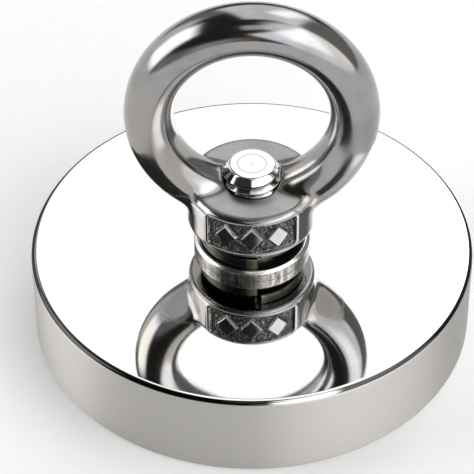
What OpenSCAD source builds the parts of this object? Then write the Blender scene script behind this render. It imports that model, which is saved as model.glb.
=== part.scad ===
/* [Steel pot] */
// Outer diameter of the steel pot
pot_d = 90; // [75:1:120]
// Height of the pot, from the pull face to the polished top
pot_h = 19; // [18:0.5:26]
// Thickness of the pot's side wall
wall_t = 4.5; // [3.5:0.25:6]
// Chamfer on the pot's outer edges
pot_edge = 1; // [0.4:0.1:2]

/* [Magnet and potting] */
// How far the magnet's face lies inside the rim
face_recess = 0.3; // [0.2:0.1:1]
// Radial gap between magnet and wall, filled with resin
resin_gap = 1.5; // [1:0.1:3]
// How much lower than the magnet's face the resin has set
resin_shrink = 0.2; // [0.1:0.1:0.6]
// Chamfer on the magnet's edges
magnet_edge = 0.5; // [0.2:0.1:1]
// Wall of the sleeve that lines the magnet's bore
sleeve_t = 1.2; // [0.8:0.1:2]
// Gap between the bolt's head and the sleeve
well_clearance = 0.7; // [0.4:0.1:1.5]

/* [Countersunk bolt] */
// Thread size of the bolt
thread_d = 12; // [10:0.5:14.5]
// Diameter of the countersunk head
head_d = 23.6; // [21:0.2:28.4]
// Straight land on the rim of the head
head_land = 0.7; // [0.4:0.1:1.2]
// How far the head is sunk below the pot's inner floor
head_sink = 0.3; // [0.1:0.1:0.8]
// Straight bore left above the countersink in the pot
seat_land = 1.4; // [1:0.1:3]
// Radial clearance of the plain holes round the bolt
bolt_clearance = 0.25; // [0.1:0.05:0.5]
// How far the bolt's end stands out of the eye nut
tip_stand = 3.9; // [2:0.1:8]
// How much the chamfer narrows the bolt's end, on the radius
tip_chamfer = 1.5; // [0.5:0.1:2]
// Height of the chamfer on the bolt's end
tip_chamfer_h = 1.5; // [0.5:0.1:3]
// Hex socket, across flats
hex_af = 8; // [6:0.5:10]
// Depth of the hex socket
hex_depth = 4.6; // [3:0.1:6]

/* [Washers] */
// Outer diameter of the flat washer
flat_washer_d = 23.6; // [21:0.2:28.4]
// Thickness of the flat washer
flat_washer_t = 2.5; // [1.6:0.1:3]
// Chamfer on the flat washer's upper edge
flat_washer_edge = 0.6; // [0.2:0.1:1]
// Width of the spring washer's section
spring_w = 4.4; // [3:0.1:5.4]
// Thickness of the spring washer's section
spring_t = 2.5; // [1.5:0.1:3.5]
// Rise of the spring washer from one end to the other
spring_rise = 2.5; // [1:0.1:3.5]
// Width of the split, measured round the washer in degrees
split_angle = 5; // [3:1:12]
// Bearing of the split, in degrees from straight ahead
split_bearing = 8; // [-90:1:90]

/* [Eye nut] */
// Outer diameter of the eye ring
ring_od = 50; // [44:1:60]
// Diameter of the ring's round bar
bar_d = 10; // [8:0.2:12]
// Diameter of the collar
collar_d = 26; // [24:0.5:32]
// Height of the collar
collar_h = 9.9; // [8:0.1:14]
// Chamfer on the collar's upper edge
collar_edge = 1.2; // [0.4:0.1:1.8]
// Chamfer on the collar's lower edge
collar_low_edge = 0.6; // [0.2:0.1:1.2]
// How deep the lowest point of the ring is sunk in the collar
ring_sunk = 7.9; // [6:0.1:9]
// Half of the angle that the cast panel covers
panel_half_angle = 43; // [30:1:60]
// Height left above and below the cast panel
panel_margin = 1.25; // [1.2:0.05:2]
// Depth of the cast panel
panel_depth = 0.6; // [0.3:0.1:1]
// Side of each raised lozenge in the panel
mark_side = 3.6; // [2:0.1:3.7]
// Angle between one lozenge and the next
mark_pitch = 24; // [20:1:28]

/* [Fits] */
// Radial running clearance between the thread and the eye nut
thread_clearance = 0.05; // [0.02:0.01:0.1]
// Gap between stacked faces that move on each other
face_gap = 0.05; // [0.02:0.01:0.1]

/* [Hidden] */
$fn = 96;
eps = 0.01;

pot_r = pot_d / 2;
thread_r = thread_d / 2;
head_r = head_d / 2;

// The pot's floor is as thick as the countersink and the bore above it need.
head_cone_h = head_r - thread_r;
floor_t = head_sink + head_land + head_cone_h + seat_land;
floor_z = pot_h - floor_t;
head_z = floor_z + head_sink;
cone_z = head_z + head_land;

inner_r = pot_r - wall_t;
magnet_r = inner_r - resin_gap;
well_r = head_r + well_clearance;
magnet_bore_r = well_r + sleeve_t;
magnet_h = floor_z - face_recess;

// The washers and the eye nut stack up from the pot's top face.
spring_z = pot_h + flat_washer_t + face_gap;
spring_in_r = thread_r + bolt_clearance;
spring_out_r = spring_in_r + spring_w;
spring_h = spring_t + spring_rise;
collar_z = spring_z + spring_h + face_gap;
collar_top = collar_z + collar_h;
collar_r = collar_d / 2;
bar_r = bar_d / 2;
ring_r = ring_od / 2 - bar_r;
ring_z = collar_top - ring_sunk + ring_od / 2;
tip_z = collar_top + tip_stand;
panel_h = collar_h - 2 * panel_margin;
panel_z = collar_z + collar_h / 2;

front = -90;

// A ring with a rectangular section, and chamfers on its outer edges.
module chamfered_ring(r_in, r_out, h, low_edge, high_edge) {
    rotate_extrude()
        polygon([[r_in, 0], [r_out - low_edge, 0], [r_out, low_edge],
                 [r_out, h - high_edge], [r_out - high_edge, h], [r_in, h]]);
}

module tube(r_in, r_out, h) {
    rotate_extrude() translate([r_in, 0]) square([r_out - r_in, h]);
}

// Cup of mild steel with its countersunk hole; the open side faces down.
module steel_pot() {
    color("gainsboro")
        rotate_extrude()
            polygon([[inner_r, 0],
                     [pot_r - pot_edge, 0],
                     [pot_r, pot_edge],
                     [pot_r, pot_h - pot_edge],
                     [pot_r - pot_edge, pot_h],
                     [thread_r + bolt_clearance, pot_h],
                     [thread_r + bolt_clearance, cone_z + head_cone_h - bolt_clearance],
                     [head_r, cone_z],
                     [head_r, floor_z],
                     [inner_r, floor_z]]);
}

// Plated ring magnet under the pot's floor.
module ring_magnet() {
    color("silver")
        translate([0, 0, face_recess])
            chamfered_ring(magnet_bore_r, magnet_r, magnet_h, magnet_edge, magnet_edge);
}

// Ring of cured resin between the magnet and the wall.
module potting_resin() {
    color("dimgray")
        translate([0, 0, face_recess + resin_shrink])
            tube(magnet_r, inner_r, magnet_h - resin_shrink);
}

// Sleeve that lines the magnet's bore and leaves a well for the hex key.
module centre_sleeve() {
    color("tan")
        translate([0, 0, face_recess])
            tube(well_r, magnet_bore_r, magnet_h);
}

// The bolt comes up from below; its cone fills the pot's countersink.
module countersunk_bolt() {
    color("whitesmoke")
        difference() {
            rotate_extrude()
                polygon([[0, head_z], [head_r, head_z], [head_r, cone_z],
                         [thread_r, cone_z + head_cone_h],
                         [thread_r, tip_z - tip_chamfer_h],
                         [thread_r - tip_chamfer, tip_z], [0, tip_z]]);
            translate([0, 0, head_z - eps])
                cylinder(d = hex_af / cos(30), h = hex_depth + eps, $fn = 6);
        }
}

module flat_washer() {
    color("lightgray")
        translate([0, 0, pot_h])
            chamfered_ring(thread_r + bolt_clearance, flat_washer_d / 2, flat_washer_t,
                           flat_washer_edge / 4, flat_washer_edge);
}

// One turn of square bar, wound left-handed, split near the front.
module spring_washer() {
    steps = 72;
    start = front + split_bearing + split_angle / 2;
    sweep = 360 - split_angle;
    function turn(i) = start + sweep * i / steps;
    function drop(i) = spring_z + spring_rise * (1 - i / steps);
    function corner(r, i, up) = [r * cos(turn(i)), r * sin(turn(i)), drop(i) + up];
    points = [for (i = [0:steps])
        each [corner(spring_in_r, i, 0), corner(spring_out_r, i, 0),
              corner(spring_out_r, i, spring_t), corner(spring_in_r, i, spring_t)]];
    sides = [for (i = [0:steps - 1], k = [0:3])
        let (a = 4 * i + k, b = 4 * i + (k + 1) % 4)
        each [[a, b, b + 4], [a, b + 4, a + 4]]];
    last = 4 * steps;
    ends = [[0, 2, 1], [0, 3, 2], [last, last + 1, last + 2], [last, last + 2, last + 3]];
    color("dimgray") polyhedron(points, concat(ends, [for (f = sides) [f[0], f[2], f[1]]]));
}

// The shallow panel in the front of the collar.
module panel_recess() {
    rotate([0, 0, front - panel_half_angle])
        rotate_extrude(angle = 2 * panel_half_angle)
            translate([collar_r - panel_depth, panel_z - panel_h / 2])
                square([panel_depth + 1, panel_h]);
}

// Raised lozenges on the panel's floor, flush with the collar.
module panel_marks() {
    intersection() {
        translate([0, 0, panel_z - panel_h / 2])
            tube(collar_r - panel_depth - eps, collar_r - eps, panel_h);
        union() {
            for (i = [-1:1])
                rotate([0, 0, mark_pitch * i])
                    translate([0, -collar_r, panel_z])
                        rotate([0, 45, 0])
                            cube([mark_side, collar_r, mark_side], center = true);
        }
    }
}

// One casting: collar with a threaded bore, and a round-bar ring on top.
module eye_nut() {
    color("slategray")
        difference() {
            union() {
                difference() {
                    translate([0, 0, collar_z])
                        chamfered_ring(0, collar_r, collar_h, collar_low_edge, collar_edge);
                    panel_recess();
                }
                panel_marks();
                translate([0, 0, ring_z])
                    rotate([90, 0, 0])
                        rotate_extrude() translate([ring_r, 0]) circle(r = bar_r);
            }
            translate([0, 0, collar_z - eps])
                cylinder(r = thread_r + thread_clearance, h = tip_z - collar_z + tip_stand);
        }
}

steel_pot();
ring_magnet();
potting_resin();
centre_sleeve();
countersunk_bolt();
flat_washer();
spring_washer();
eye_nut();
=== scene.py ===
# %% [markdown]
# # A magnet-fishing magnet, dressed in Blender
#
# The object is a steel pot with a ring magnet potted into it. A countersunk bolt comes up
# through the middle, and an eye nut is screwed down on it over a flat washer and a spring
# washer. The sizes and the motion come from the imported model, so this file only makes the
# finished surfaces, and each piece takes its place from the CAD boxes.

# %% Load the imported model
from math import atan2, cos, hypot, pi, radians, sin

import bmesh
import bpy
import numpy as np
from mathutils import Matrix, Vector, noise


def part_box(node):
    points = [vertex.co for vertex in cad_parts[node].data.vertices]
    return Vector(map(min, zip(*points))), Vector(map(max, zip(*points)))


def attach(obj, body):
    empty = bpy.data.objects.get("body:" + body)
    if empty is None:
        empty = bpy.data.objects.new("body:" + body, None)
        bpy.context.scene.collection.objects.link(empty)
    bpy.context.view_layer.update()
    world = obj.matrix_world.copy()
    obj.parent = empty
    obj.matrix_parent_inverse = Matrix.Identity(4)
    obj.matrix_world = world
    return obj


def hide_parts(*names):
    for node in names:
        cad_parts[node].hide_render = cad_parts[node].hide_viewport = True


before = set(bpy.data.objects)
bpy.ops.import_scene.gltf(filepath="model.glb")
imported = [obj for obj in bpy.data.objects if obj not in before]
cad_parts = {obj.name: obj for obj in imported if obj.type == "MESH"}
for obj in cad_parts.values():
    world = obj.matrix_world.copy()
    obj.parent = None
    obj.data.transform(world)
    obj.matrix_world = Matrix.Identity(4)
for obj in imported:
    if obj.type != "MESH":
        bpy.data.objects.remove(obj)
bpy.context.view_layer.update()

# %% [markdown]
# ## Measures
#
# Blender works in metres here, and a machinist thinks in millimetres, so every length below
# is written as a number times mm. The radii and heights that the pieces share are read from
# the CAD boxes, so a change of size there arrives here by itself.

# %% Radii and heights from the CAD boxes
mm = 0.001


def radius(node):
    """Half the width of a round node."""
    low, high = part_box(node)
    return (high[0] - low[0]) / 2


def heights(node):
    """The lowest and highest Z of a node."""
    low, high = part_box(node)
    return low[2], high[2]


pot_r, magnet_r, inner_r = radius("steel_pot"), radius("ring_magnet"), radius("potting_resin")
head_r, flat_washer_r, spring_washer_r = (
    radius("countersunk_bolt"), radius("flat_washer"), radius("spring_washer"))
magnet_bore_r = radius("centre_sleeve")
pot_top = heights("steel_pot")[1]
magnet_face, floor_z = heights("ring_magnet")
resin_face = heights("potting_resin")[0]
head_z, tip_z = heights("countersunk_bolt")
washer_top = heights("flat_washer")[1]
spring_low, spring_high = heights("spring_washer")
collar_z, eye_top = heights("eye_nut")

# The thread and the casting have standard sizes, which a box can't show.
thread_r, pitch = 6.0 * mm, 1.75 * mm
bolt_clearance = 0.25 * mm
washer_bore = thread_r + bolt_clearance
collar_r, collar_h = 13.0 * mm, 9.9 * mm
bar_r = 5.0 * mm
ring_r = radius("eye_nut") - bar_r
ring_z = eye_top - bar_r - ring_r
collar_top = collar_z + collar_h
print("pot", round(pot_r / mm, 2), "collar", round(collar_z / mm, 2), round(collar_top / mm, 2),
      "ring", round(ring_r / mm, 2), "at", round(ring_z / mm, 2), "tip", round(tip_z / mm, 2))

# %% [markdown]
# ## Shader maths as plain sums
#
# A finish is a small web of nodes. Written link by link it is unreadable, so one class wraps
# a socket and lets ordinary arithmetic add the Math nodes, and one method makes every other
# node from its type, its settings and what goes into its sockets.

# %% A wire that does sums, and the tree it belongs to
class Wire:
    """One output socket of a node; sums on it add Math nodes to the same tree."""

    def __init__(self, tree, socket):
        self.tree, self.socket = tree, socket

    def math(self, operation, *values):
        return self.tree.node("ShaderNodeMath", {"operation": operation}, dict(enumerate(values)))

    def __add__(self, other):
        return self.math("ADD", self, other)

    def __sub__(self, other):
        return self.math("SUBTRACT", self, other)

    def __rsub__(self, other):
        return self.math("SUBTRACT", other, self)

    def __mul__(self, other):
        return self.math("MULTIPLY", self, other)

    def __truediv__(self, other):
        return self.math("DIVIDE", self, other)

    def __gt__(self, other):
        return self.math("GREATER_THAN", self, other)

    def __lt__(self, other):
        return self.math("LESS_THAN", self, other)

    __radd__, __rmul__ = __add__, __mul__

    def root(self):
        return self.math("SQRT", self)

    def at_least(self, other):
        return self.math("MAXIMUM", self, other)

    def size(self):
        return self.math("ABSOLUTE", self)

    def sine(self):
        return self.math("SINE", self)

    def step(self, low, high):
        """0 below low, 1 above high, and a smooth slope between."""
        return self.tree.node("ShaderNodeMapRange", {"interpolation_type": "SMOOTHSTEP"},
                              {0: self, 1: low, 2: high, 3: 0.0, 4: 1.0})


class Tree:
    """The node tree of a finish or of the studio, cleared and ready for new nodes."""

    def __init__(self, owner):
        owner.use_nodes = True
        self.owner, self.nodes, self.links = owner, owner.node_tree.nodes, owner.node_tree.links
        self.nodes.clear()

    def node(self, kind, settings=None, sockets=None, output=0):
        made = self.nodes.new(kind)
        for name, value in (settings or {}).items():
            if name == "stops":
                ramp = made.color_ramp.elements
                while len(ramp) < len(value):
                    ramp.new(0.5)
                for stop, (place, shade) in zip(ramp, value):
                    stop.position, stop.color = place, shade
            else:
                setattr(made, name, value)
        for name, value in (sockets or {}).items():
            if isinstance(value, Wire):
                self.links.new(value.socket, made.inputs[name])
            else:
                made.inputs[name].default_value = value
        return Wire(self, made.outputs[output]) if made.outputs else None

    def place(self, scale=(1, 1, 1)):
        """Where a point lies on the object, stretched by scale."""
        spot = self.node("ShaderNodeTexCoord", output="Object")
        return self.node("ShaderNodeMapping", {}, {"Vector": spot, "Scale": scale})

    def axes(self, vector):
        """The X, Y and Z of a vector, as three wires."""
        first = self.node("ShaderNodeSeparateXYZ", {}, {0: vector})
        outputs = first.socket.node.outputs
        return [Wire(self, outputs[k]) for k in range(3)]

    def noise(self, scale, detail=3.0, rough=0.5, stretch=(1, 1, 1)):
        """Soft random clouds between 0 and 1; scale is in clouds per metre."""
        return self.node("ShaderNodeTexNoise", {}, {
            "Vector": self.place(stretch), "Scale": scale, "Detail": detail, "Roughness": rough})

    def bump(self, strength, distance, height):
        """A surface normal that follows a relief of the given depth."""
        return self.node("ShaderNodeBump", {}, {
            "Strength": strength, "Distance": distance, "Height": height})

    def mix(self, factor, shade_a, shade_b):
        """A colour between two, by factor."""
        return self.node("ShaderNodeMix", {"data_type": "RGBA"},
                         {0: factor, 6: shade_a, 7: shade_b}, output=2)


def finish(tree, sockets):
    """Close a finish with one metal or plastic shader on its output."""
    surface = tree.node("ShaderNodeBsdfPrincipled", {}, sockets)
    tree.node("ShaderNodeOutputMaterial", {}, {"Surface": surface})
    print("finish", tree.owner.name, "has", len(tree.nodes), "nodes")
    return tree.owner


def new_tree(name):
    return Tree(bpy.data.materials.new(name))


def rgb(red, green, blue):
    return (red, green, blue, 1.0)


# %% [markdown]
# ## Turned pieces
#
# The pot, the magnet, the washers and the sleeve are all made on a lathe, so they are made
# the same way here: a closed outline in the XZ plane is spun once round the Z axis. Each
# corner is bevelled in the outline, before the spin, which gives every edge a real radius
# that catches the light. A flat facet that meets a rounding would shade as if it were bent,
# so a support edge is cut in close to each corner.

# %% The lathe
support, lathe_steps = 0.12 * mm, 288


def outline(bm, corners):
    """Draw (radius, height, rounding) corners as a closed line, with the corners rounded."""
    verts = [bm.verts.new((x, 0, z)) for x, z, _ in corners]
    for a, b in zip(verts, verts[1:] + verts[:1]):
        bm.edges.new((a, b))
    for size in sorted({rounding for _, _, rounding in corners if rounding > 0}):
        chosen = [v for v, corner in zip(verts, corners) if corner[2] == size]
        bmesh.ops.bevel(bm, geom=chosen, offset=size, segments=6, profile=0.5,
                        affect="VERTICES", material=-1)
    for edge in [e for e in bm.edges if e.calc_length() > 6 * support]:
        share = support / edge.calc_length()
        other_edge, middle = bmesh.utils.edge_split(edge, edge.verts[0], share)
        long_edge = max((edge, other_edge), key=lambda e: e.calc_length())
        bmesh.utils.edge_split(long_edge, long_edge.other_vert(middle), share)


def tidy(bm):
    bmesh.ops.remove_doubles(bm, verts=bm.verts[:], dist=0.001 * mm)
    bmesh.ops.recalc_face_normals(bm, faces=bm.faces[:])


def piece(name, bm, material, body, node):
    """Make the finished object, let it ride, and hide the CAD node it stands for."""
    mesh = bpy.data.meshes.new(name)
    bm.to_mesh(mesh)
    bm.free()
    mesh.shade_smooth()
    mesh.set_sharp_from_angle(angle=radians(35))
    made = bpy.data.objects.new(name, mesh)
    bpy.context.collection.objects.link(made)
    mesh.materials.append(material)
    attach(made, body)
    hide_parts(node)
    print(name, len(mesh.polygons), "faces")


def lathe(corners):
    bm = bmesh.new()
    outline(bm, corners)
    bmesh.ops.spin(bm, geom=bm.verts[:] + bm.edges[:], cent=(0, 0, 0), axis=(0, 0, 1),
                   angle=2 * pi, steps=lathe_steps, use_merge=True)
    tidy(bm)
    return bm


# %% [markdown]
# ## Nickel on the pot
#
# The pot is nickel plated. Its top is ground and buffed to a mirror, its side keeps the very
# fine lines of the lathe, and the rounded edge between them is buffed too. One finish does
# all three: the height and the distance from the axis say where a point lies, and that mask
# raises the roughness and the bump on the side alone. The lines run round the side, so they
# stretch each highlight up and down it, and the nickel is duller at a shallow angle.
#
# The rounded edge mirrors the dark half of the room as a thin black band, which breaks off
# at the front right, where a lamp stands. The band is laid into the finish, because the sky
# of this studio is too simple to make it.

# %% Pot finish
edge_r = 1.2 * mm
satin_depth = 0.25 * mm
foot_h = 0.6 * mm


def edge_band(x, y, out, depth):
    """The dark band on the rounded edge, open at the front right."""
    band = out.step(pot_r - 0.72 * edge_r, pot_r - 0.55 * edge_r)
    band = band * (1 - depth.step(0.5 * edge_r, 0.65 * edge_r))
    lamp = x.step(2.5 * mm, 5 * mm) * (1 - x.step(14 * mm, 18 * mm)) * (y < 0)
    return band * (1 - lamp)


def pot_nickel():
    tree = new_tree("pot_nickel")
    x, y, z = tree.axes(tree.place())
    out = (x * x + y * y).root()
    side = out.step(pot_r - satin_depth, pot_r - 0.1 * satin_depth)
    under = 1 - z.step(0, foot_h)
    satin = side.at_least(under * 0.6)
    lines = tree.noise(1.0, 4.0, 0.6, (40, 40, 9000))
    clouds = tree.noise(60, 3.0, 0.6)
    hair = tree.noise(1.0, 2.0, 0.5, (2600, 90, 60))
    roughness = 0.018 + 0.015 * clouds + satin * (0.35 + 0.10 * lines) + (hair > 0.63) * 0.02
    colour = tree.mix(satin * (0.7 + 0.3 * lines), rgb(0.80, 0.795, 0.785), rgb(0.58, 0.56, 0.53))
    colour = tree.mix(edge_band(x, y, out, pot_top - z), colour, rgb(0.05, 0.05, 0.05))
    return finish(tree, {
        "Base Color": colour, "Metallic": 1.0, "Roughness": roughness,
        "Specular Tint": rgb(0.45, 0.45, 0.45), "Anisotropic": 0.9,
        "Anisotropic Rotation": 0.25, "Normal": tree.bump(0.25, 0.02 * mm, satin * lines)})


# %% [markdown]
# The pot is a cup with its open side down. Its outline runs from the inner wall round the
# rim, up the side, in over the top and down the countersunk hole.

# %% Pot
seat_land, head_recess = 1.4 * mm, 1.0 * mm
piece("pot_shell", lathe([
    (inner_r, 0, 0.3 * mm),
    (pot_r, 0, 0.8 * mm),
    (pot_r, pot_top, edge_r),
    (washer_bore, pot_top, 0.2 * mm),
    (washer_bore, pot_top - seat_land, 0),
    (head_r, floor_z + head_recess, 0),
    (head_r, floor_z, 0.2 * mm),
    (inner_r, floor_z, 0),
]), pot_nickel(), "magnet", "steel_pot")

# %% [markdown]
# ## The pull side
#
# Underneath, the ring magnet is bright nickel, lapped flat, with faint arcs from the lapping
# plate. The resin round it has set a little lower and glossy, and the brass sleeve in the
# middle guards the brittle bore when a hex key goes in.

# %% Magnet finish
def magnet_nickel():
    tree = new_tree("magnet_nickel")
    arcs = tree.noise(1.0, 3.0, 0.6, (1500, 70, 200))
    clouds = tree.noise(90, 4.0, 0.65)
    roughness = 0.13 + 0.10 * clouds + 0.05 * arcs
    colour = tree.mix(clouds.step(0.35, 0.75), rgb(0.74, 0.73, 0.71), rgb(0.62, 0.60, 0.56))
    return finish(tree, {
        "Base Color": colour, "Metallic": 1.0, "Roughness": roughness,
        "Normal": tree.bump(0.3, 0.01 * mm, arcs + 0.4 * clouds)})


# %% Magnet
magnet_edge = 0.5 * mm
piece("magnet_ring", lathe([
    (magnet_bore_r, magnet_face, magnet_edge), (magnet_r, magnet_face, magnet_edge),
    (magnet_r, floor_z, 0), (magnet_bore_r, floor_z, 0),
]), magnet_nickel(), "magnet", "ring_magnet")

# %% [markdown]
# The resin is black epoxy. It sets glossy, with slow waves in it and a little dust.

# %% Resin finish
def resin():
    tree = new_tree("resin")
    dust = tree.noise(2200, 2.0, 0.6)
    flow = tree.noise(240, 3.0, 0.5)
    colour = tree.mix(dust.step(0.45, 0.8), rgb(0.018, 0.018, 0.020), rgb(0.06, 0.06, 0.065))
    return finish(tree, {
        "Base Color": colour, "Roughness": 0.22 + 0.2 * dust,
        "Normal": tree.bump(0.4, 0.08 * mm, flow + 0.1 * dust)})


# %% [markdown]
# Resin creeps up the walls as it sets, so its face is a shallow trough: the outline dips in
# the middle.

# %% Resin
resin_dip, resin_creep = 0.25 * mm, 0.3 * mm
resin_mid = (magnet_r + inner_r) / 2
piece("resin_ring", lathe([
    (magnet_r, resin_face, 0),
    (magnet_r + resin_creep, resin_face + 0.7 * resin_dip, 0.15 * mm),
    (resin_mid, resin_face + resin_dip, 0.3 * mm),
    (inner_r - resin_creep, resin_face + 0.7 * resin_dip, 0.15 * mm),
    (inner_r, resin_face, 0),
    (inner_r, floor_z, 0), (magnet_r, floor_z, 0),
]), resin(), "magnet", "potting_resin")

# %% [markdown]
# The sleeve is a short brass tube, turned and a little tarnished.

# %% Brass finish
def sleeve_brass():
    tree = new_tree("sleeve_brass")
    lines = tree.noise(1.0, 3.0, 0.6, (60, 60, 7000))
    tarnish = tree.noise(260, 4.0, 0.6)
    colour = tree.mix(tarnish.step(0.4, 0.75), rgb(0.78, 0.60, 0.30), rgb(0.50, 0.36, 0.17))
    return finish(tree, {
        "Base Color": colour, "Metallic": 1.0, "Roughness": 0.24 + 0.14 * tarnish,
        "Normal": tree.bump(0.3, 0.02 * mm, lines)})


# %% Sleeve
sleeve_wall = 1.2 * mm
well_r = magnet_bore_r - sleeve_wall
piece("sleeve", lathe([
    (well_r, magnet_face, 0.35 * mm), (magnet_bore_r, magnet_face, 0.15 * mm),
    (magnet_bore_r, floor_z, 0), (well_r, floor_z, 0),
]), sleeve_brass(), "magnet", "centre_sleeve")

# %% [markdown]
# ## Washers
#
# The flat washer is turned from bar and has a broad chamfer on its upper edge, which is the
# bright line that the eye sees first. Its side keeps the marks of the tool.

# %% Washer finish
washer_chamfer = 0.6 * mm


def washer_steel():
    tree = new_tree("washer_steel")
    z = tree.axes(tree.place())[2]
    polished = z.step(washer_top - washer_chamfer, washer_top - 0.8 * washer_chamfer)
    lines = tree.noise(1.0, 3.0, 0.6, (90, 90, 6000))
    chatter = tree.noise(1.0, 4.0, 0.65, (1100, 1100, 300))
    specks = tree.noise(3400, 2.0, 0.6)
    side = tree.mix(chatter.step(0.35, 0.65), rgb(0.40, 0.39, 0.365), rgb(0.11, 0.105, 0.095))
    side = tree.mix(specks.step(0.58, 0.72), side, rgb(0.62, 0.61, 0.58))
    colour = tree.mix(polished * (0.75 + 0.25 * lines), side, rgb(0.68, 0.67, 0.65))
    roughness = 0.2 + 0.1 * lines + 0.06 * chatter - 0.1 * polished
    return finish(tree, {
        "Base Color": colour, "Metallic": 1.0, "Roughness": roughness,
        "Normal": tree.bump(0.35, 0.015 * mm, lines + chatter)})


# %% Flat washer
piece("washer_flat", lathe([
    (washer_bore, pot_top, 0.15 * mm), (flat_washer_r, pot_top, 0.12 * mm),
    (flat_washer_r, washer_top - 0.9 * washer_chamfer, 0.15 * mm),
    (flat_washer_r - 1.1 * washer_chamfer, washer_top, 0.15 * mm),
    (washer_bore, washer_top, 0.15 * mm),
]), washer_steel(), "magnet", "flat_washer")

# %% [markdown]
# The spring washer is one turn of square bar. It is wound left-handed, so its upper end digs
# into the nut as soon as the nut tries to unscrew. Here its rounded section is spun almost
# once round while each step drops a little, and the two cut ends are closed. The steel is
# nearly black, and its colour is darkened further as painted shade. The lighter olive patch
# beside the split is painted light.

# %% Spring steel
patch_x, patch_half = 1.4 * mm, 2.5 * mm


def spring_steel():
    tree = new_tree("spring_steel")
    lines = tree.noise(1.0, 3.0, 0.6, (120, 120, 3500))
    stain = tree.noise(420, 4.0, 0.6)
    x, y, _ = tree.axes(tree.place())
    # Painted light: a lighter olive patch beside the split, where light reaches the washer.
    beside = 1 - (x - patch_x).size().step(patch_half - 0.3 * mm, patch_half + 0.3 * mm)
    olive_painted_light = beside * (-1 * y).step(spring_washer_r - 0.65 * mm, spring_washer_r - 0.05 * mm)
    # Nearly black steel with random stains, darkened further as painted shade.
    dark = tree.mix(stain.step(0.4, 0.7), rgb(0.06, 0.06, 0.055), rgb(0.025, 0.025, 0.02))
    colour = tree.mix(olive_painted_light, dark, rgb(0.22, 0.21, 0.15))
    return finish(tree, {
        "Base Color": colour, "Metallic": 1.0, "Roughness": 0.16 + 0.14 * lines + 0.1 * stain,
        "Normal": tree.bump(0.3, 0.02 * mm, lines)})


# %% Spring washer
spring_t, spring_edge = 2.5 * mm, 0.25 * mm
split_angle, split_bearing = 5, 8
spring_rise = spring_high - spring_low - spring_t
spring_steps = 180


def spring_turn():
    bm = bmesh.new()
    top, under = spring_high, spring_high - spring_t
    outline(bm, [(washer_bore, under, spring_edge), (spring_washer_r, under, spring_edge),
                 (spring_washer_r, top, spring_edge), (washer_bore, top, spring_edge)])
    start = radians(-90 + split_bearing + split_angle / 2)
    bmesh.ops.rotate(bm, verts=bm.verts[:], cent=(0, 0, 0),
                     matrix=Matrix.Rotation(start, 3, "Z"))
    bmesh.ops.spin(bm, geom=bm.verts[:] + bm.edges[:], cent=(0, 0, 0), axis=(0, 0, 1),
                   dvec=(0, 0, -spring_rise / spring_steps), angle=radians(360 - split_angle),
                   steps=spring_steps, use_merge=False)
    bmesh.ops.holes_fill(bm, edges=[e for e in bm.edges if e.is_boundary])
    tidy(bm)
    return bm


piece("washer_spring", spring_turn(), spring_steel(), "spring_washer", "spring_washer")

# %% [markdown]
# ## Screw threads
#
# A thread is one tooth outline, one pitch tall, that is swept round the axis and climbs by a
# pitch in each turn. Neighbouring turns share their edge, so merging doubles closes the
# surface. Two flat cuts trim it to length. The bolt and the eye nut use the same function and
# the same starting angle, so the two threads stay in step while the nut climbs.

# %% One function for both threads
turn_steps, thread_phase = 96, 0.16 * mm
crest = pitch / 8
flank = (pitch - crest - pitch / 4) / 2
thread_rounding = 0.07 * mm


def helix(low, high, root, top):
    """A threaded surface from height low to high, between two radii."""
    bm = bmesh.new()
    start = (low // pitch - 2) * pitch + thread_phase
    tooth = [(root, 0), (root, crest), (top, crest + flank),
             (top, 2 * crest + flank), (root, pitch - crest), (root, pitch)]
    verts = [bm.verts.new((r, 0, start + z)) for r, z in tooth]
    for a, b in zip(verts, verts[1:]):
        bm.edges.new((a, b))
    bmesh.ops.bevel(bm, geom=verts[1:-1], offset=thread_rounding, segments=2, profile=0.5,
                    affect="VERTICES", material=-1)
    turns = int((high - start) / pitch) + 2
    bmesh.ops.spin(bm, geom=bm.verts[:] + bm.edges[:], cent=(0, 0, 0), axis=(0, 0, 1),
                   dvec=(0, 0, pitch / turn_steps), angle=2 * pi * turns,
                   steps=turn_steps * turns, use_merge=False)
    bmesh.ops.remove_doubles(bm, verts=bm.verts[:], dist=0.002 * mm)
    return bm


def trim(bm, height, keep_below):
    """Cut the mesh level at a height and return the cut edges."""
    cut = bmesh.ops.bisect_plane(bm, geom=bm.verts[:] + bm.edges[:] + bm.faces[:], dist=1e-8,
                                 plane_co=(0, 0, height), plane_no=(0, 0, 1),
                                 clear_outer=keep_below, clear_inner=not keep_below)
    return [g for g in cut["geom_cut"] if isinstance(g, bmesh.types.BMEdge)]


def grow(bm, loop, reach, height):
    """Extrude a loop of edges to a new radius, or a radius for each angle, at a height."""
    made = bmesh.ops.extrude_edge_only(bm, edges=loop)["geom"]
    verts = {g for g in made if isinstance(g, bmesh.types.BMVert)}
    for v in verts:
        angle = atan2(v.co.y, v.co.x)
        r = reach(angle) if callable(reach) else reach
        v.co = Vector((r * cos(angle), r * sin(angle), height))
    return [g for g in made if isinstance(g, bmesh.types.BMEdge) and set(g.verts) <= verts]


def close(bm, loop):
    bmesh.ops.holes_fill(bm, edges=loop)


# %% [markdown]
# ## The bolt
#
# The bolt is bright polished steel. Its end has a long chamfer that runs out into the thread,
# a fine turned circle and a centre dot from the lathe. Below, its cone sits in the pot and its
# head has a hex socket. The thread's grooves and the turned circle are painted darker.

# %% Sizes of the bolt's end
end_r, end_chamfer_h = 4.5 * mm, 2.0 * mm
groove_r, groove_w, groove_depth = 2.85 * mm, 0.07 * mm, 0.018 * mm
turning_pitch = 0.16 * mm
shank_top = pot_top + 0.6 * mm
bolt_crest, bolt_root = thread_r - 0.02 * mm, thread_r - 0.98 * mm
thread_out = 1.45 * mm  # how far below the end the thread begins to run out


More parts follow.
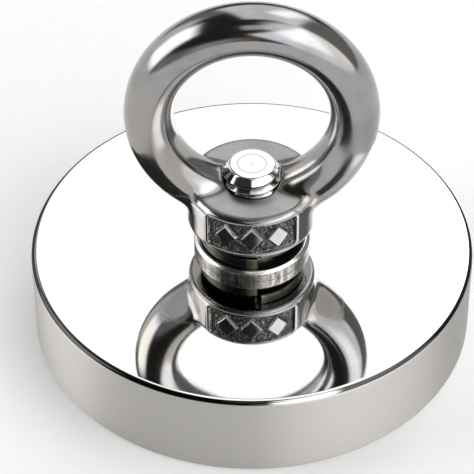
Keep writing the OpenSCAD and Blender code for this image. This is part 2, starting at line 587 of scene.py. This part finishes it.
# %% Bolt finish
def bolt_steel():
    tree = new_tree("bolt_steel")
    x, y, z = tree.axes(tree.place())
    out = (x * x + y * y).root()
    clouds = tree.noise(700, 3.0, 0.6)
    wave = (out * (2 * pi / turning_pitch)).sine()
    # The turned circle on the end is painted darker.
    circle = 1 - (out - groove_r).size().step(0.05 * mm, 0.11 * mm)
    circle = circle * (z > tip_z - 0.5 * mm)
    colour = tree.mix(clouds, rgb(0.86, 0.855, 0.845), rgb(0.74, 0.73, 0.71))
    colour = tree.mix(circle, colour, rgb(0.30, 0.295, 0.29))
    # The grooves of the thread are painted darker.
    groove = 1 - out.step(bolt_root + 0.1 * mm, bolt_crest - 0.15 * mm)
    groove = groove * (z < tip_z - thread_out + 0.1 * mm) * (z > shank_top)
    colour = tree.mix(groove, colour, rgb(0.20, 0.19, 0.175))
    return finish(tree, {
        "Base Color": colour, "Metallic": 1.0, "Roughness": 0.055 + 0.06 * clouds,
        "Normal": tree.bump(0.06, 0.01 * mm, wave)})


# %% Bolt
def end_cone(height):
    """The radius that the chamfer allows at a height."""
    return end_r + (tip_z - height) * (thread_r - end_r) / end_chamfer_h


def bolt_thread():
    bm = helix(shank_top, tip_z, bolt_root, bolt_crest)
    for v in bm.verts:
        r, cone = hypot(v.co.x, v.co.y), end_cone(v.co.z)
        smooth = min(max((v.co.z - tip_z + thread_out) / (0.3 * mm), 0), 1)
        wanted = min(max(r, bolt_root + smooth * (cone - bolt_root)), cone)
        v.co.x, v.co.y = v.co.x * wanted / r, v.co.y * wanted / r
    close(bm, trim(bm, shank_top, False))
    loop = trim(bm, tip_z - 0.3 * mm, True)
    for r, z in [(end_r + 0.1 * mm, tip_z - 0.17 * mm), (end_r - 0.03 * mm, tip_z - 0.08 * mm),
                 (end_r - 0.2 * mm, tip_z - 0.02 * mm), (end_r - 0.4 * mm, tip_z),
                 (end_r - 0.6 * mm, tip_z), (groove_r + groove_w, tip_z),
                 (groove_r, tip_z - groove_depth), (groove_r - groove_w, tip_z),
                 (0.4 * mm, tip_z), (0.28 * mm, tip_z), (0.05 * mm, tip_z - 0.12 * mm)]:
        loop = grow(bm, loop, r, z)
    close(bm, loop)
    tidy(bm)
    return bm


# %% [markdown]
# The head starts as one circle at the rim. Growing it upwards makes the cone and the shank,
# and growing it downwards makes the face, the chamfered mouth of the socket, and the six flat
# walls: the radius of a hexagon at any angle is its half width over a cosine.

# %% Bolt head with its socket
hex_half, hex_depth, head_land = 4.0 * mm, 4.6 * mm, 0.7 * mm
mouth_r, mouth_depth, drill_depth = 4.85 * mm, 0.55 * mm, 1.4 * mm


def hexagon(angle):
    return hex_half / cos(angle % radians(60) - radians(30))


def bolt_head(bm):
    rim = bmesh.ops.create_circle(bm, segments=240, radius=head_r)["verts"]
    bmesh.ops.translate(bm, verts=rim, vec=(0, 0, head_z + head_land))
    start = list({e for v in rim for e in v.link_edges})
    cone_top = head_z + head_land + head_r - thread_r
    loop = start
    for r, z in [(thread_r, cone_top), (thread_r, shank_top), (0.5 * mm, shank_top)]:
        loop = grow(bm, loop, r, z)
    close(bm, loop)
    loop = start
    for r, z in [(head_r, head_z + 0.2 * mm), (head_r - 0.03 * mm, head_z + 0.1 * mm),
                 (head_r - 0.1 * mm, head_z + 0.03 * mm), (head_r - 0.2 * mm, head_z),
                 (head_r - 0.5 * mm, head_z), (mouth_r + 0.55 * mm, head_z),
                 (mouth_r + 0.25 * mm, head_z), (mouth_r, head_z + 0.12 * mm),
                 (hexagon, head_z + mouth_depth), (hexagon, head_z + hex_depth),
                 (3.4 * mm, head_z + hex_depth),
                 (0.3 * mm, head_z + hex_depth + drill_depth)]:
        loop = grow(bm, loop, r, z)
    close(bm, loop)
    tidy(bm)


bolt_mesh = bolt_thread()
bolt_head(bolt_mesh)
piece("bolt", bolt_mesh, bolt_steel(), "magnet", "countersunk_bolt")

# %% [markdown]
# ## The eye nut
#
# The eye nut is cast in one piece and polished: a ring of round bar that flows into a collar.
# Two turned shapes joined by a hard line would look wrong, so the ring and the collar are
# first merged into one even skin of small squares. Then every point slides onto a smooth
# surface that is written as a formula: the distance to the ring and the distance to the collar,
# blended so that a fillet grows between them. A curved mirror made this way has no seams.

# %% Distances that shape the casting, in millimetres
ring_wide, ring_tall = ring_r / mm + 0.1, ring_r / mm + 1.0
bar_flat, bar_deep = bar_r / mm - 0.15, bar_r / mm + 0.7
ring_mid = ring_z / mm - 0.45
fillet, collar_round, collar_low_round = 2.6, 1.7, 0.8
bore_r, bore_top, mouth_round = thread_r / mm + 0.12, collar_top / mm + 8, 0.35
panel_angle, panel_margin, panel_corner = radians(43), 1.25, 0.7
panel_half, panel_b = panel_angle * collar_r / mm, collar_h / mm / 2 - panel_margin
panel_z, panel_depth = (collar_z + collar_h / 2) / mm, 0.65
lip_h, lip_w = 0.12, 0.4
lozenge_w, lozenge_h, lozenge_gap = 2.3, 2.75, radians(24) * collar_r / mm


def blend(a, b, width):
    """The smaller of two distances, with a soft change from one to the other."""
    near = np.clip(1 - np.abs(a - b) / width, 0, 1)
    return np.minimum(a, b) - near ** 3 * width / 6


def rise(value, low, high):
    t = np.clip((value - low) / (high - low), 0, 1)
    return t * t * (3 - 2 * t)


def ring_distance(x, y, z):
    across = np.hypot(x, z - ring_mid)
    share = np.hypot(x / ring_wide, (z - ring_mid) / ring_tall)
    section = np.hypot(across * (1 - 1 / share) / bar_flat, y / bar_deep)
    return (section - 1) * (bar_flat + bar_deep) / 2


def collar_distance(x, y, z):
    edge = np.where(z > panel_z, collar_round, collar_low_round)
    out = np.hypot(x, y) - (collar_r / mm - edge)
    up = np.abs(z - panel_z) - (collar_h / mm / 2 - edge)
    inside = np.minimum(np.maximum(out, up), 0)
    return inside + np.hypot(np.maximum(out, 0), np.maximum(up, 0)) - edge


def panel_height(x, y, z):
    """How far the cast panel stands in or out from the collar, and where its floor is."""
    along, up = np.arctan2(x, -y) * collar_r / mm, z - panel_z
    dx = np.abs(along) - panel_half + panel_corner
    dz = np.abs(up) - panel_b + panel_corner
    edge = np.minimum(np.maximum(dx, dz), 0) - panel_corner
    edge = edge + np.hypot(np.maximum(dx, 0), np.maximum(dz, 0))
    lozenge = np.min([np.abs(along - k * lozenge_gap) / lozenge_w for k in (-1, 0, 1)], axis=0)
    lozenge = 1.5 * (lozenge + np.abs(up) / lozenge_h - 1)
    floor = (1 - rise(edge, -0.3, 0.0)) * rise(lozenge, -0.15, 0.25)
    lip = lip_h * np.exp(-((edge - 0.45) / lip_w) ** 2)
    near = rise(np.hypot(x, y), collar_r / mm - 2.5, collar_r / mm - 1.5) * (y < 0)
    return (lip - panel_depth * floor) * near, floor * near


def casting(points):
    x, y, z = points.T
    solid = blend(ring_distance(x, y, z), collar_distance(x, y, z), fillet)
    solid = solid - panel_height(x, y, z)[0]
    bore = np.maximum(np.hypot(x, y) - bore_r, z - bore_top)
    return -blend(-solid, bore, mouth_round)


def slope(points, step=0.002):
    parts = [casting(points + d) - casting(points - d) for d in np.eye(3) * step]
    return np.stack(parts, 1) / (2 * step)


# %% [markdown]
# The rough stock is a spun ring and a turned collar with a hole through both. A voxel remesh
# turns them into one skin of even squares. The squares of the cast panel are then divided
# again, because its lozenges and the grain of its floor are small, and so are those at the
# mouth of the bore.

# %% Stock for the casting
skin_square = 0.37 * mm


def stock_object(name, bm):
    mesh = bpy.data.meshes.new(name)
    bm.to_mesh(mesh)
    bm.free()
    made = bpy.data.objects.new(name, mesh)
    bpy.context.collection.objects.link(made)
    return made


def ring_stock():
    bm = bmesh.new()
    bmesh.ops.create_circle(bm, segments=48, radius=bar_r)
    bmesh.ops.translate(bm, verts=bm.verts[:], vec=(ring_r, 0, ring_z))
    bmesh.ops.spin(bm, geom=bm.verts[:] + bm.edges[:], cent=(0, 0, ring_z), axis=(0, 1, 0),
                   angle=2 * pi, steps=160, use_merge=True)
    tidy(bm)
    return bm


def cylinder_stock(r, low, high):
    bm = bmesh.new()
    bmesh.ops.create_cone(bm, cap_ends=True, segments=96, radius1=r, radius2=r, depth=high - low)
    bmesh.ops.translate(bm, verts=bm.verts[:], vec=(0, 0, (low + high) / 2))
    return bm


def cast_skin():
    """One closed skin of even squares round the ring, the collar and the bore."""
    nut = stock_object("stock_collar", cylinder_stock(collar_r, collar_z, collar_top))
    ring = stock_object("stock_ring", ring_stock())
    drill = cylinder_stock(bore_r * mm, collar_z - 1 * mm, tip_z + 2 * mm)
    bore = stock_object("stock_bore", drill)
    for other, operation in ((ring, "UNION"), (bore, "DIFFERENCE")):
        step = nut.modifiers.new(operation, "BOOLEAN")
        step.object, step.operation, step.solver = other, operation, "EXACT"
    skin = nut.modifiers.new("skin", "REMESH")
    skin.mode, skin.voxel_size = "VOXEL", skin_square
    bpy.context.view_layer.update()
    bm = bmesh.new()
    bm.from_object(nut, bpy.context.evaluated_depsgraph_get())
    for made in (nut, ring, bore):
        bpy.data.objects.remove(made)
    print("skin", len(bm.verts), "points")
    return bm


# %% Slide every point onto the casting
def read(bm):
    return np.array([v.co for v in bm.verts]) / mm


def write(bm, points):
    for v, place in zip(bm.verts, points * mm):
        v.co = place


def settle(bm, rounds=8):
    """Move each point along the slope until the distance is zero."""
    points = read(bm)
    for _ in range(rounds):
        g = slope(points)
        points -= 0.9 * casting(points)[:, None] * g / np.maximum((g * g).sum(1), 0.2)[:, None]
    write(bm, points)
    print("left over", round(float(np.abs(casting(points)).max()), 4), "mm")


def divide(bm, chosen, cuts):
    edges = [e for e in bm.edges if all(chosen(v.co) for v in e.verts)]
    bmesh.ops.subdivide_edges(bm, edges=edges, cuts=cuts, use_grid_fill=True)


def in_panel(p):
    outside = p.y < 0 and hypot(p.x, p.y) > collar_r - 1.5 * mm
    beside = abs(atan2(p.x, -p.y)) < panel_angle + radians(4)
    return outside and beside and abs(p.z - panel_z * mm) < collar_h / 2 - 0.3 * mm


def at_mouth(p):
    return hypot(p.x, p.y) < thread_r + 1.0 * mm and p.z > collar_top - 0.8 * mm


def cast_nut():
    bm = cast_skin()
    settle(bm)
    for _ in range(3):
        bmesh.ops.smooth_vert(bm, verts=bm.verts[:], factor=0.5, use_axis_x=True,
                              use_axis_y=True, use_axis_z=True)
    settle(bm, 4)
    divide(bm, in_panel, 3)
    divide(bm, at_mouth, 1)
    settle(bm, 4)
    return bm


# %% [markdown]
# The floor of the panel is left as cast, so it is grainy: each of its points moves in or out
# by a little noise. How much a point belongs to that floor is stored on the mesh as a number,
# and the finish reads it to make the floor rough and dark.

# %% Grain of the cast floor
coarse_grain, fine_grain = 0.11 * mm, 0.09 * mm


def roughen(bm):
    layer = bm.verts.layers.float.new("cast_floor")
    points = read(bm)
    share = panel_height(*points.T)[1]
    bm.normal_update()
    for v, amount in zip(bm.verts, share):
        v[layer] = float(amount)
        if amount > 0.02:
            coarse, fine = noise.noise(v.co / (0.55 * mm)), noise.noise(v.co / (0.22 * mm))
            v.co += v.normal * float(amount) * (coarse_grain * coarse + fine_grain * fine)
    tidy(bm)
    return bm


# %% [markdown]
# The casting is stainless steel, barrel polished: it mirrors the room, but its skin is a
# little wavy and clouded. The top of the collar was faced on a lathe, so it is duller there.

# %% Eye nut finish
def eye_steel():
    tree = new_tree("eye_steel")
    floor = tree.node("ShaderNodeAttribute", {"attribute_name": "cast_floor"}, output="Fac")
    clouds = tree.noise(130, 3.0, 0.55)
    grain = tree.noise(2600, 3.0, 0.6)
    scuffs = tree.noise(1.0, 3.0, 0.6, (900, 300, 120))
    tint = tree.noise(70, 2.0, 0.5)
    colour = tree.mix(clouds.step(0.3, 0.7), rgb(0.36, 0.355, 0.37), rgb(0.29, 0.285, 0.29))
    colour = tree.mix(tint.step(0.5, 0.62), colour, rgb(0.35, 0.335, 0.31))
    pits = tree.mix(grain.step(0.5, 0.68), rgb(0.055, 0.052, 0.05), rgb(0.34, 0.33, 0.31))
    colour = tree.mix(floor, colour, pits)
    waves = tree.noise(260, 2.0, 0.5)
    z = tree.axes(tree.place())[2]
    machined = z.step(collar_top - 0.5 * mm, collar_top - 0.1 * mm)
    machined = machined * (1 - z.step(collar_top + 0.1 * mm, collar_top + 0.7 * mm))
    roughness = 0.09 + 0.17 * machined + 0.06 * clouds + 0.04 * scuffs + floor * (0.2 + 0.2 * grain)
    relief = 0.2 * scuffs + 1.6 * waves + floor * grain * 3.0
    return finish(tree, {
        "Base Color": colour, "Metallic": 1.0, "Roughness": roughness,
        "Normal": tree.bump(0.35, 0.02 * mm, relief)})


# %% [markdown]
# The thread inside the eye nut is a piece of its own that rides with the casting. It stops a
# little short of both faces, and its crests are low enough to pass the bolt's chamfered end.

# %% Thread inside the eye nut
nut_lead_in = 0.35 * mm
nut_crest, nut_root = thread_r - 0.50 * mm, thread_r + 0.06 * mm


def nut_thread():
    low, high = collar_z + nut_lead_in, collar_top - nut_lead_in
    bm = helix(low, high, nut_crest, nut_root)
    loops = [grow(bm, trim(bm, z, below), bore_r * mm + 0.3 * mm, z)
             for z, below in ((high, True), (low, False))]
    bmesh.ops.bridge_loops(bm, edges=loops[0] + loops[1])
    tidy(bm)
    return bm


eye_finish = eye_steel()
piece("eye_nut_casting", roughen(cast_nut()), eye_finish, "eye_nut", "eye_nut")
piece("eye_nut_thread", nut_thread(), eye_finish, "eye_nut", "eye_nut")

# %% [markdown]
# ## Studio
#
# Polished metal has no look of its own: it shows the room. The room here is a grey studio
# with a few soft boxes, written as bright and dark patches in the sky. A large white card
# stands behind the object, which makes the top of the pot white, and dark gaps between the
# lamps draw the edges.

# %% Sky with cards
base_light, floor_light = 0.03, 0.45
# Each row is a card: its bearing (0 is behind the object, 90 to its right), its height above
# the horizon and its tilt in degrees, then half its width, half its height, the softness of
# its edge, and its brightness. The widths are what it covers at a distance of 1.
cards = [
    (16, 48, -22, 0.46, 0.69, 0.07, 1.28),   # large and high, behind
    (28, 37, -2, 0.14, 0.31, 0.09, 1.2),     # strip beside it
    (-84, 24, 2, 0.36, 0.41, 0.14, 3.2),     # strong lamp at the left
    (-51, 15, 3, 0.21, 0.37, 0.13, 1.1),     # strip behind the left lamp
    (126, 46, 26, 0.33, 0.56, 0.20, 1.4),    # high lamp at the front right
    (131, 23, -14, 0.82, 0.61, 0.08, 1.5),   # wide, low lamp under it
    (172, 62, -4, 0.20, 0.15, 0.05, 0.8),    # small lamp over the camera
    (70, 30, 0, 0.80, 0.60, 0.20, 0.25),     # weak fill at the right
    (-28, 18, 0, 0.22, 0.50, 0.15, 0.25),    # weak fill behind, at the left
    (-140, 4, 0, 0.60, 0.24, 0.12, 0.30),    # weak fill at the front left
    (-165, 6, 0, 0.30, 0.20, 0.12, 0.22),    # weak fill at the front
]


def patch(axes, bearing, height, tilt, half_w, half_h, soft):
    """How much a direction lies inside a flat rectangular card, seen from the object."""
    bearing, height, tilt = radians(bearing), radians(height), radians(tilt)
    ahead = Vector((sin(bearing) * cos(height), cos(bearing) * cos(height), sin(height)))
    side = Vector((cos(bearing), -sin(bearing), 0))
    turn = Matrix.Rotation(-tilt, 3, ahead)
    side, up = turn @ side, turn @ side.cross(ahead)
    toward, across, along = (sum(a * float(k) for a, k in zip(axes, v)) for v in (ahead, side, up))
    depth = toward.at_least(0.02)
    mask = toward.step(0.02, 0.1)
    for offset, half in ((across, half_w), (along, half_h)):
        mask = mask * (1 - (offset / depth).size().step(half - soft, half + soft))
    return mask


def studio():
    world = bpy.data.worlds.new("studio")
    bpy.context.scene.world = world
    tree = Tree(world)
    axes = tree.axes(tree.node("ShaderNodeTexCoord", output="Generated"))
    light = base_light
    for *shape, level in cards:
        light = patch(axes, *shape) * level + light
    light = light + (1 - axes[2].step(-0.10, -0.03)) * floor_light
    background = tree.node("ShaderNodeBackground", {}, {"Color": rgb(1, 1, 1), "Strength": light})
    tree.node("ShaderNodeOutputWorld", {}, {"Surface": background})
    print("studio has", len(cards), "cards")


studio()

# %% [markdown]
# The object stands on white paper. A backdrop is lit until it is nearly as pale as a blank
# page, so the paper here gives off a little light of its own. It lies a hair below the pot,
# so that the two faces don't fight for the same place.

# %% Floor
floor_half, floor_drop = 3.0, 0.02 * mm


def floor_paper():
    tree = new_tree("floor_paper")
    tooth = tree.noise(300, 2.0, 0.5)
    colour = tree.mix(tooth, rgb(0.88, 0.88, 0.88), rgb(0.85, 0.85, 0.85))
    return finish(tree, {
        "Base Color": colour, "Roughness": 0.9, "Specular IOR Level": 0.0,
        "Emission Color": rgb(1, 1, 1), "Emission Strength": 0.08})


floor_bm = bmesh.new()
bmesh.ops.create_grid(floor_bm, x_segments=1, y_segments=1, size=floor_half)
bmesh.ops.translate(floor_bm, verts=floor_bm.verts[:], vec=(0, 0, -floor_drop))
floor_obj = stock_object("floor", floor_bm)
floor_obj.data.materials.append(floor_paper())

# %% [markdown]
# ## Camera
#
# The camera looks down at about 43 degrees from the side of the cast panel, through a long
# lens, which keeps the round pot from bulging. Its distances are shares of the pot's radius,
# so the pot fills the frame at any size.

# %% Camera
camera_back, camera_up, camera_tilt = 7.952 * pot_r, 7.463 * pot_r, 43.06
camera_data = bpy.data.cameras.new("camera")
camera_data.sensor_width = 36
camera_data.lens = 182.6
camera_data.shift_x = -0.0314
camera_data.clip_start = 0.01
camera = bpy.data.objects.new("camera", camera_data)
camera.location = (0, -camera_back, pot_top + camera_up)
camera.rotation_euler = (radians(90 - camera_tilt), 0, 0)
bpy.context.collection.objects.link(camera)
bpy.context.scene.camera = camera
bpy.context.scene.view_settings.view_transform = "Standard"
print("camera", round(hypot(camera_back, camera_up) / pot_r, 1), "pot radii away")
